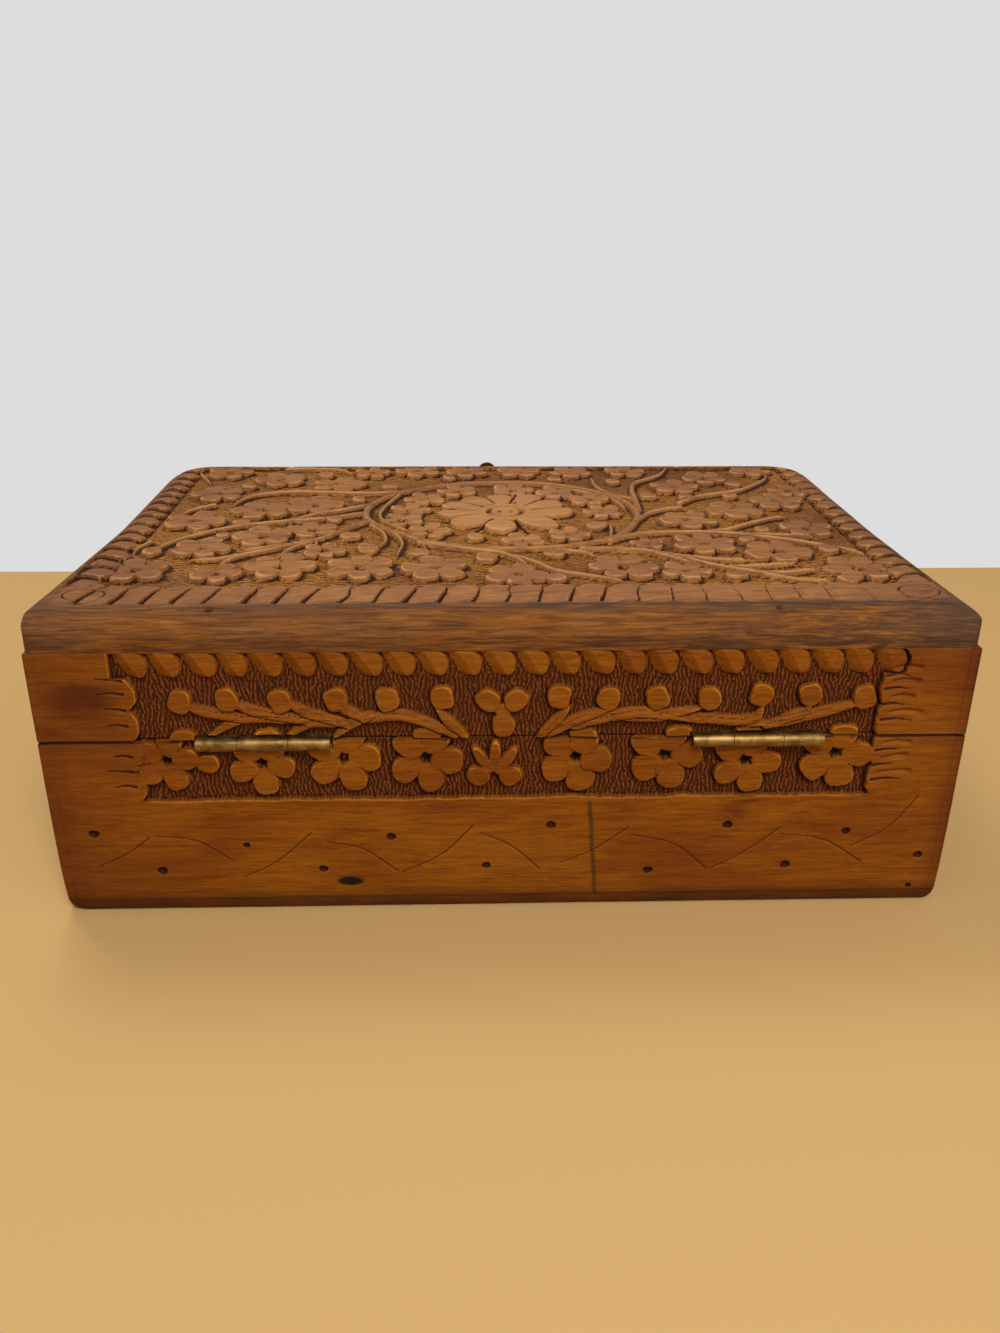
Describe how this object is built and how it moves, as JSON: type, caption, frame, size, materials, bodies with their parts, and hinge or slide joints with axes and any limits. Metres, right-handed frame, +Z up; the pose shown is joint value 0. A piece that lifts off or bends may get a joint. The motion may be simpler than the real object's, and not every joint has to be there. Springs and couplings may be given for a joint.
{
  "type": "keepsake box",
  "caption": "Rectangular hardwood box with a deep hinged lid, carved floral relief, two small brass butt hinges at the back and a brass hasp at the front.",
  "frame": {"origin": "centre of the box's underside", "axes": "+X to the right seen from the front, +Y to the back where the hinges are, +Z up"},
  "size_m": [0.254, 0.1814, 0.091],
  "materials": {
    "wall_wood": "satin, old varnish on carved hardwood",
    "lid_board_wood": "dull, worn carved hardwood",
    "bottom_board_wood": "dull, dark stained",
    "hinge_brass": "aged, dull",
    "pin_brass": "aged, dull",
    "screw_brass": "aged",
    "hasp_brass": "aged, dark",
    "brad_steel": "dark, slightly rusted"
  },
  "bodies": {
    "base": {"bottom_board": "bottom_board_wood", "base_back_wall": "wall_wood", "base_front_wall": "wall_wood", "base_left_wall": "wall_wood", "base_right_wall": "wall_wood", "base_corner_brads": "brad_steel", "bottom_board_brads": "brad_steel", "left_hinge_base_leaf": "hinge_brass", "right_hinge_base_leaf": "hinge_brass", "left_hinge_pin": "pin_brass", "right_hinge_pin": "pin_brass", "left_hinge_base_screws": "screw_brass", "right_hinge_base_screws": "screw_brass", "hasp_staple": "hasp_brass"},
    "lid": {"lid_board": "lid_board_wood", "lid_back_wall": "wall_wood", "lid_front_wall": "wall_wood", "lid_left_wall": "wall_wood", "lid_right_wall": "wall_wood", "lid_corner_brads": "brad_steel", "lid_board_brads": "brad_steel", "left_hinge_lid_leaf": "hinge_brass", "right_hinge_lid_leaf": "hinge_brass", "left_hinge_lid_screws": "screw_brass", "right_hinge_lid_screws": "screw_brass", "hasp_plate": "hasp_brass", "hasp_pin": "pin_brass", "hasp_plate_nails": "brad_steel"},
    "hasp": {"hasp_tongue": "hasp_brass"}
  },
  "joints": [
    {"name": "lid_hinge", "type": "hinge", "parent": "base", "child": "lid", "pos_m": [0, 0.0864, 0.0544], "axis": [-1, 0, 0], "range_deg": [0, 175]},
    {"name": "hasp_hinge", "type": "hinge", "parent": "lid", "child": "hasp", "pos_m": [0.002, -0.0877, 0.062], "axis": [1, 0, 0], "range_deg": [0, 182]}
  ]
}
